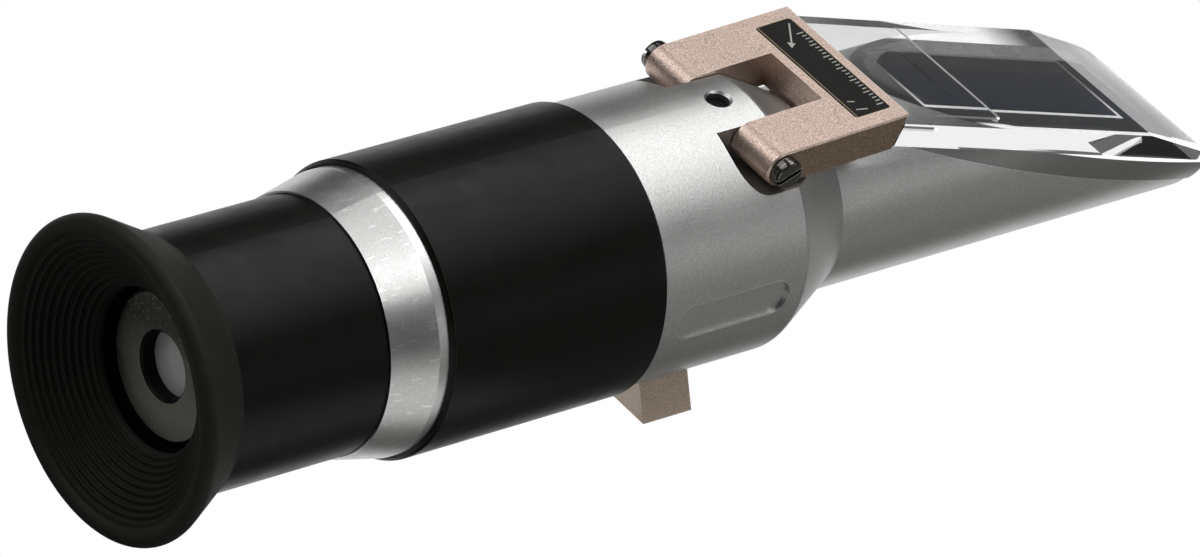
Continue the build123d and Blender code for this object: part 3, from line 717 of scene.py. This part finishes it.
# Painted light: the seal turns paler towards the far side and glows a little.
toned(seal_grey, (0.26, 0.26, 0.25), face_origin, SIDE, -5.0, 6.5, 0.2)
prism_grain = (0.3, 0.001, 0.8, 0.35, 0.04)
prism_dark = finish("prism_dark", (0.004, 0.014, 0.04), 0.0, 0.12, prism_grain, 3.0)
# Painted reflection: the prism turns from navy at the near side to grey at the far side.
toned(prism_dark, (0.028, 0.029, 0.032), face_origin, SIDE, -4.5, 3.5)

screw_black = finish("screw_black", (0.09, 0.086, 0.08), 0.95, 0.18, (0.15, 0.004, 0.2, 0.2, 0.1))
# Painted highlight along the screws' edges.
insert(screw_black, EDGE, Edge_colour=(0.85, 0.82, 0.78, 1), Width=0.2, Amount=1.0)
steel = finish("bare_steel", (0.45, 0.45, 0.45), 1.0, 0.35, (0.2, 0.004, 0.1, 0.1, 0.05))
bronze = finish("strip_bronze", (0.55, 0.45, 0.28), 1.0, 0.35, (0.2, 0.004, 0.1, 0.1, 0.05))

label_black = finish(
    "label_black", (0.012, 0.0115, 0.0105), 0.0, 0.5, (0.2, 0.004, 0.2, 0.1, 0.05), **dull
)
label_ink = finish("label_ink", (0.5, 0.49, 0.46), 0.0, 0.5, (0.12, 0.001, 0.25, 0.1, 0.05))
label_gold = finish("label_gold", (0.32, 0.25, 0.15), 0.6, 0.4, (0.2, 0.001, 0.25, 0.1, 0.05))
glass_edge = finish("glass_edge", (0.8, 0.8, 0.78), 0.0, 0.35, (0.2, 0.002, 0.15, 0.1, 0.05))
# Painted highlight: the prism's edge is bright at the near side, grey at the far side, and glows a
# little.
toned(glass_edge, (0.12, 0.12, 0.12), face_origin, SIDE, -6.0, 1.0, 0.5)
ground_glass = finish("ground_glass", (0.42, 0.42, 0.41), 0.0, 0.4, (0.2, 0.004, 0.2, 0.1, 0.05))
lens_glass = clear("lens_glass", (0.96, 0.98, 0.97), 1.52)
# Painted light: the eye lens is pale and mostly opaque, standing in for the light that comes through the
# instrument from the prism.
coated_lens = clear("coated_lens", (0.85, 0.86, 0.85), 1.7, 0.1, 0.3)
clear_plastic = clear("clear_plastic", (0.985, 0.99, 0.99), 1.49)
print(len(bpy.data.materials), "materials")

# %% [markdown]
# ## Dress the CAD nodes
# The shapes that are right already keep their CAD mesh and only take a finish. The lens retainer takes
# a second one: its flat faces are bright, and its bore is black.

# %% Dress the CAD nodes
FLAT_FACE = 0.8
wardrobe = {
    "head": blasted,
    "main_tube": plated,
    "cover_bracket": rose,
    "foot_block": foot_rose,
    "focus_sleeve": black_barrel,
    "grip_sleeve": grip_black,
    "calibration_plug": plug_rubber,
    "lens_retainer": retainer_grey,
    "prism_frame": frame_grey,
    "prism_gasket": seal_grey,
    "prism": prism_dark,
    "foot_screws": screw_black,
    "plate_screws": screw_black,
    "bimetal_strip": bronze,
    "label_plate": label_black,
    "eye_lens": coated_lens,
    "daylight_plate": clear_plastic,
}
for name in (
    "lens_carrier", "lens_spacer", "guide_ring", "reticle_ring", "light_stop", "objective_cell",
    "objective_retainer",
):
    wardrobe[name] = inner_black
for name in ("guide_pin", "strip_clamp", "strip_screw", "calibration_screw"):
    wardrobe[name] = steel
for name in ("field_lens", "objective_lens", "reticle"):
    wardrobe[name] = lens_glass
for name, material in wardrobe.items():
    mesh = nodes[name].data
    mesh.materials.clear()
    mesh.materials.append(material)
retainer = nodes["lens_retainer"].data
retainer.materials.append(inner_black)
for face in retainer.polygons:
    if abs(face.normal.x) < FLAT_FACE:
        face.material_index = 1
print(len(wardrobe), "nodes dressed")

# %% [markdown]
# ## Pieces from rules
# A geometry tree is written once, with named inputs, and runs on a small starting mesh. The result is
# kept as plain geometry at the origin, so the piece has no modifier left.

# %% Helpers for pieces
def mesh_piece(name, corners, faces, material):
    """A named piece from points and faces."""
    thing = plate_mesh(name, [tuple(corner) for corner in corners], faces)
    if material:
        thing.data.materials.append(material)
    return thing


def faces_outward(thing):
    """Merges doubles and turns every face outwards."""
    work = bmesh.new()
    work.from_mesh(thing.data)
    bmesh.ops.remove_doubles(work, verts=work.verts, dist=1e-7)
    bmesh.ops.recalc_face_normals(work, faces=work.faces)
    work.to_mesh(thing.data)
    work.free()
    return thing


def smooth(thing, angle=35):
    """Smooth shading that keeps real edges sharp."""
    for face in thing.data.polygons:
        face.use_smooth = True
    thing.data.set_sharp_from_angle(angle=math.radians(angle))
    return thing


def rule_tree(name, inputs):
    """A geometry tree with a geometry in, a geometry out and named inputs."""
    tree = bpy.data.node_groups.new(name, "GeometryNodeTree")
    tree.interface.new_socket("Geometry", in_out="INPUT", socket_type="NodeSocketGeometry")
    for label, kind in inputs:
        tree.interface.new_socket(label, in_out="INPUT", socket_type=kind)
    tree.interface.new_socket("Geometry", in_out="OUTPUT", socket_type="NodeSocketGeometry")
    return tree, tree.nodes.new("NodeGroupInput"), tree.nodes.new("NodeGroupOutput")


def point_value(tree, name):
    """The socket of a number that each point carries."""
    node = add_node(
        tree, "GeometryNodeInputNamedAttribute", [("Name", name)], data_type="FLOAT"
    )
    return next(
        socket for socket in node.outputs if socket.name == "Attribute" and socket.enabled
    )


def run_rule(thing, tree, name, **values):
    """Runs a geometry tree on a mesh and returns the result as a new plain piece."""
    modifier = thing.modifiers.new("rule", "NODES")
    modifier.node_group = tree
    for item in tree.interface.items_tree:
        if item.in_out == "INPUT" and item.name.replace(" ", "_") in values:
            modifier[item.identifier] = values[item.name.replace(" ", "_")]
    depsgraph = bpy.context.evaluated_depsgraph_get()
    mesh = bpy.data.meshes.new_from_object(thing.evaluated_get(depsgraph))
    thing.modifiers.remove(modifier)
    bpy.data.objects.remove(thing)
    mesh.name = name
    result = bpy.data.objects.new(name, mesh)
    scene.collection.objects.link(result)
    return result


print("helpers ready")

# %% [markdown]
# ## Eyecup
# A soft ring with a wide rounded lip, a flare behind it and a ribbed funnel. The plain ring is spun from
# one closed outline of arcs and runs; each point of the funnel remembers how far down the funnel it is.
# The rule then raises a wave of ribs along the funnel, which fades at both ends.

# %% Eyecup
def arc(centre, radius, start, end, steps):
    """Points of an arc; angles in degrees, from the rim's front towards the outside."""
    points = []
    for step in range(steps + 1):
        angle = math.radians(start + (end - start) * step / steps)
        points.append((centre[0] - radius * math.cos(angle), centre[1] + radius * math.sin(angle)))
    return points


def run(start, end, steps):
    """Points along a straight run, without its first one."""
    points = []
    for step in range(1, steps + 1):
        share = step / steps
        points.append(tuple(a + (b - a) * share for a, b in zip(start, end)))
    return points


RIM_RADIUS = 19.0
LIP = 1.15
CUP_LENGTH = 7.6
BACK_RADIUS, BACK_ROUND = 15.85, 0.5
BORE = 13.2
SEAT_DEPTH, SHOULDER_RADIUS = 5.2, 12.0
MOUTH_DEPTH, MOUTH_RADIUS = 6.9, 9.6
back_round = CUP_LENGTH - BACK_ROUND
funnel_top = (0.75, 16.75)
funnel_end = (6.2, MOUTH_RADIUS)
outline = arc((LIP, RIM_RADIUS - LIP), LIP, -62, 118, 22)
outline += run(outline[-1], (back_round, BACK_RADIUS), 10)
outline += arc((back_round, BACK_RADIUS - BACK_ROUND), BACK_ROUND, 100, 180, 5)
outline += run(outline[-1], (CUP_LENGTH, BORE), 4)
outline += run(outline[-1], (SEAT_DEPTH, BORE), 3)
outline += run(outline[-1], (SEAT_DEPTH, SHOULDER_RADIUS), 2)
outline += run(outline[-1], (MOUTH_DEPTH, MOUTH_RADIUS), 3)
outline += [funnel_end]
funnel_start = len(outline) - 1
outline += run(funnel_end, funnel_top, 120)

TURNS = 144
corners = []
for x, r in outline:
    for step in range(TURNS):
        angle = 2 * math.pi * step / TURNS
        corners.append(spot(x, r * math.sin(angle), r * math.cos(angle)))
faces = []
rows = len(outline)
for row in range(rows):
    here, after = row * TURNS, (row + 1) % rows * TURNS
    for step in range(TURNS):
        beside = (step + 1) % TURNS
        faces.append((here + step, here + beside, after + beside, after + step))
cup = mesh_piece("eyecup_plain", corners, faces, cup_rubber)
depth = cup.data.attributes.new("funnel", "FLOAT", "POINT")
for row in range(rows):
    share = max((row - funnel_start) / (rows - 1 - funnel_start), 0.0)
    for step in range(TURNS):
        depth.data[row * TURNS + step].value = share
faces_outward(cup)

tree, given, out = rule_tree(
    "ribbed_funnel", [("Ribs", "NodeSocketInt"), ("Rib height", FLOAT), ("Fade", FLOAT)]
)
get = given.outputs
share = point_value(tree, "funnel")
turns = math_node(tree, "MULTIPLY", share, get["Ribs"])
wave = math_node(tree, "COSINE", math_node(tree, "MULTIPLY", turns, 2 * math.pi))
wave = math_node(tree, "MULTIPLY_ADD", wave, -0.5, 0.5)
near_end = math_node(tree, "DIVIDE", share, get["Fade"], clamp=True)
rest = math_node(tree, "SUBTRACT", 1.0, share)
near_top = math_node(tree, "DIVIDE", rest, get["Fade"], clamp=True)
height = math_node(tree, "MULTIPLY", wave, math_node(tree, "MULTIPLY", near_end, near_top))
full_height = math_node(tree, "MULTIPLY", get["Rib height"], MM)
height = math_node(tree, "MULTIPLY", height, full_height)
normal = add_node(tree, "GeometryNodeInputNormal")
lift = add_node(
    tree, "ShaderNodeVectorMath", [], [(0, normal.outputs[0]), ("Scale", height)], operation="SCALE"
)
move = add_node(
    tree,
    "GeometryNodeSetPosition",
    [],
    [("Geometry", get["Geometry"]), ("Offset", lift.outputs[0])],
)
tree.links.new(move.outputs[0], out.inputs["Geometry"])
eyecup = smooth(run_rule(cup, tree, "eyecup_soft", Ribs=10, Rib_height=0.42, Fade=0.08), 60)
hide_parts("eyecup")
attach(eyecup, "eyepiece")
print("eyecup", len(eyecup.data.polygons), "faces")

# %% [markdown]
# ## Hinge screws
# One slotted head is modelled: a disc, and on it two bevelled half discs with the slot between them.
# The rule puts it at each side of the fork.

# %% Hinge screws
HEAD_RADIUS, HEAD_LENGTH = 1.85, 1.3
SLOT_WIDTH, SLOT_DEPTH, SLOT_TURN = 0.55, 0.6, 22
SHANK_RADIUS, SHANK_LENGTH = 1.1, 9.0
FORK_SIDE = 11.75
# The head's rounded rim: how far each ring lies below the top and inside the head's radius.
HEAD_RINGS = ((SLOT_DEPTH, 0.0), (0.35, 0.0), (0.15, 0.06), (0.04, 0.2), (0.0, 0.42))


def disc(work, radius, low, high, steps=48):
    """A closed round slab along Y in a mesh that is being built."""
    angles = [2 * math.pi * step / steps for step in range(steps)]
    rings = []
    for y in (low, high):
        ring = [
            work.verts.new((radius * MM * math.cos(angle), y * MM, radius * MM * math.sin(angle)))
            for angle in angles
        ]
        rings.append(ring)
        work.faces.new(ring)
    for step in range(steps):
        beside = (step + 1) % steps
        work.faces.new((rings[0][step], rings[0][beside], rings[1][beside], rings[1][step]))


def half_disc(work, side, steps=28):
    """The part of a screw head at one side of its slot, with a rounded rim."""
    half_slot = SLOT_WIDTH / 2
    start = math.asin(half_slot / HEAD_RADIUS)
    rows = []
    for below_top, inset in HEAD_RINGS:
        y, radius = HEAD_LENGTH - below_top, HEAD_RADIUS - inset
        row = []
        for step in range(steps + 1):
            angle = start + (math.pi - 2 * start) * step / steps
            across = radius * math.cos(angle)
            up = max(radius * math.sin(angle), half_slot)
            row.append(work.verts.new((across * MM, y * MM, side * up * MM)))
        rows.append(row)
    for lower, upper in zip(rows, rows[1:]):
        for step in range(steps):
            work.faces.new((lower[step], lower[step + 1], upper[step + 1], upper[step]))
        work.faces.new((lower[-1], lower[0], upper[0], upper[-1]))
    work.faces.new(rows[0])
    work.faces.new(rows[-1])


work = bmesh.new()
disc(work, HEAD_RADIUS, 0.0, HEAD_LENGTH - SLOT_DEPTH)
disc(work, SHANK_RADIUS, -SHANK_LENGTH, 0.0, 32)
for side in (1, -1):
    half_disc(work, side)
slot_turn = Matrix.Rotation(math.radians(SLOT_TURN), 3, "Y")
bmesh.ops.rotate(work, verts=work.verts, matrix=slot_turn)
bmesh.ops.recalc_face_normals(work, faces=work.faces)
head_mesh = bpy.data.meshes.new("screw_head")
work.to_mesh(head_mesh)
work.free()
head_mesh.materials.append(screw_black)
screw_head = bpy.data.objects.new("screw_head", head_mesh)
scene.collection.objects.link(screw_head)

fork_sides = [hinge + SIDE * FORK_SIDE * MM, hinge - SIDE * FORK_SIDE * MM]
places = mesh_piece("screw_places", fork_sides, [], None)
turn = places.data.attributes.new("half_turn", "FLOAT", "POINT")
turn.data[1].value = math.pi
tree, given, out = rule_tree(
    "put_screws", [("Screw", "NodeSocketObject"), ("Finish", "NodeSocketMaterial")]
)
model = add_node(tree, "GeometryNodeObjectInfo", [], [("Object", given.outputs["Screw"])])
about_z = add_node(tree, "ShaderNodeCombineXYZ", [], [("Z", point_value(tree, "half_turn"))])
copies = add_node(
    tree,
    "GeometryNodeInstanceOnPoints",
    [],
    [
        ("Points", given.outputs["Geometry"]),
        ("Instance", model.outputs["Geometry"]),
        ("Rotation", about_z.outputs[0]),
    ],
)
real = add_node(tree, "GeometryNodeRealizeInstances", [], [("Geometry", copies.outputs[0])])
dressed = add_node(
    tree,
    "GeometryNodeSetMaterial",
    [],
    [("Geometry", real.outputs[0]), ("Material", given.outputs["Finish"])],
)
tree.links.new(dressed.outputs[0], out.inputs["Geometry"])
screws = run_rule(places, tree, "hinge_screw_pair", Screw=screw_head, Finish=screw_black)
bpy.data.objects.remove(screw_head)
smooth(screws, 30)
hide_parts("hinge_screws")
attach(screws, "housing")
print("screws", len(screws.data.polygons), "faces")

# %% [markdown]
# ## Label marks
# The label stays generic: a thin border, an arrow towards the user, two dashes and a row of ticks. They
# are thin raised prints just over the label.

# %% Label marks
PRINT_LOW, PRINT_HIGH = 2.255, 2.275
LINE_WIDTH, BORDER_WIDTH = 0.16, 0.1
TICKS, TICK_FOOT, TICK_LENGTH, LONG_TICK, LONG_TICK_EVERY = 25, 16.95, 0.6, 0.95, 4
FIRST_TICK, TICK_SPAN = 6.6, 15.0


def print_shape(outlines, name, material):
    """Thin raised prints on the label from flat outlines in (u, y)."""
    work = bmesh.new()
    for outline in outlines:
        rings = []
        for w in (PRINT_LOW, PRINT_HIGH):
            rings.append([work.verts.new(on_fork(u, y, w)) for u, y in outline])
        work.faces.new(rings[0])
        work.faces.new(rings[1])
        for step in range(len(outline)):
            beside = (step + 1) % len(outline)
            work.faces.new((rings[0][step], rings[0][beside], rings[1][beside], rings[1][step]))
    bmesh.ops.recalc_face_normals(work, faces=work.faces)
    mesh = bpy.data.meshes.new(name)
    work.to_mesh(mesh)
    work.free()
    mesh.materials.append(material)
    piece = bpy.data.objects.new(name, mesh)
    scene.collection.objects.link(piece)
    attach(piece, "cover")
    return piece


def bar(start, end, width):
    """A straight line with a width, as an outline."""
    start, end = Vector(start), Vector(end)
    along = (end - start).normalized()
    side = Vector((-along.y, along.x)) * width / 2
    return [tuple(point) for point in (start + side, end + side, end - side, start - side)]


arrow_shaft = bar((16.5, 8.7), (14.2, 5.3), 0.2)
arrow_head = [(13.7, 4.6), (14.65, 5.15), (14.25, 5.45), (13.85, 5.75)]
short_dash = bar((13.1, -6.5), (13.9, -6.9), LINE_WIDTH)
long_dash = bar((13.1, -8.2), (14.5, -8.6), 0.18)
shapes = [arrow_shaft, arrow_head, short_dash, long_dash]
for tick in range(TICKS):
    y = FIRST_TICK - tick * TICK_SPAN / (TICKS - 1)
    length = TICK_LENGTH if tick % LONG_TICK_EVERY else LONG_TICK
    shapes.append(bar((TICK_FOOT, y), (TICK_FOOT - length, y), LINE_WIDTH))
print_shape(shapes, "label_print", label_ink)
near_u, far_u, half = 12.35, 17.25, 9.55
border = [
    bar(start, end, BORDER_WIDTH)
    for start, end in (
        ((near_u, -half), (near_u, half)),
        ((far_u, -half), (far_u, half)),
        ((near_u, -half), (far_u, -half)),
        ((near_u, half), (far_u, half)),
    )
]
print_shape(border, "label_border", label_gold)
print(len(shapes), "prints on the label")

# %% [markdown]
# ## Polished edge of the prism
# The prism's ground edge catches the light as a bright line under the clear plate; the line is a painted
# highlight.

# %% Prism edge
PRISM_HALF, EDGE_LINE = 6.4, 0.5
FACE_START, FACE_END = 8.9, 45.2
EDGE_LOW, EDGE_HIGH = -0.052, -0.03
corners = []
for n in (EDGE_LOW, EDGE_HIGH):
    for inset in (0.0, EDGE_LINE):
        start, end, half = FACE_START + inset, FACE_END - inset, PRISM_HALF - inset
        for t, y in ((start, -half), (end, -half), (end, half), (start, half)):
            corners.append(on_face(t, y, n))
faces = []
for step in range(4):
    beside = (step + 1) % 4
    for low, high in ((0, 4), (12, 8), (8, 0), (4, 12)):
        faces.append((low + step, low + beside, high + beside, high + step))
prism_edge = faces_outward(mesh_piece("prism_edge", corners, faces, glass_edge))
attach(prism_edge, "housing")
print("prism edge", [round(v, 4) for v in corners[0]])

# %% [markdown]
# ## Ground step of the plate
# The raised pad of the clear plate ends in a ground step, which shows as one bright line across the
# plate.

# %% Ground step
PAD_TOP, PAD_END, PAD_HALF = 3.35, 18.5, 9.7
LINE_LENGTH, LINE_LIFT, LINE_GAP, LINE_FALL = 0.42, 0.03, 0.002, 0.01
section = (
    (PAD_END - LINE_LENGTH, PAD_TOP + LINE_GAP),
    (PAD_END + LINE_LIFT, PAD_TOP + LINE_GAP),
    (PAD_END + LINE_LIFT, PAD_TOP + LINE_LIFT - LINE_FALL),
    (PAD_END - LINE_LENGTH, PAD_TOP + LINE_LIFT),
)
corners = [on_face(t, y, n) for y in (-PAD_HALF, PAD_HALF) for t, n in section]
faces = [(0, 1, 2, 3), (7, 6, 5, 4)]
faces += [(step, (step + 1) % 4, 4 + (step + 1) % 4, 4 + step) for step in range(4)]
ground_step = faces_outward(mesh_piece("ground_step", corners, faces, ground_glass))
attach(ground_step, "cover")
print("ground step", [round(v, 4) for v in corners[0]])
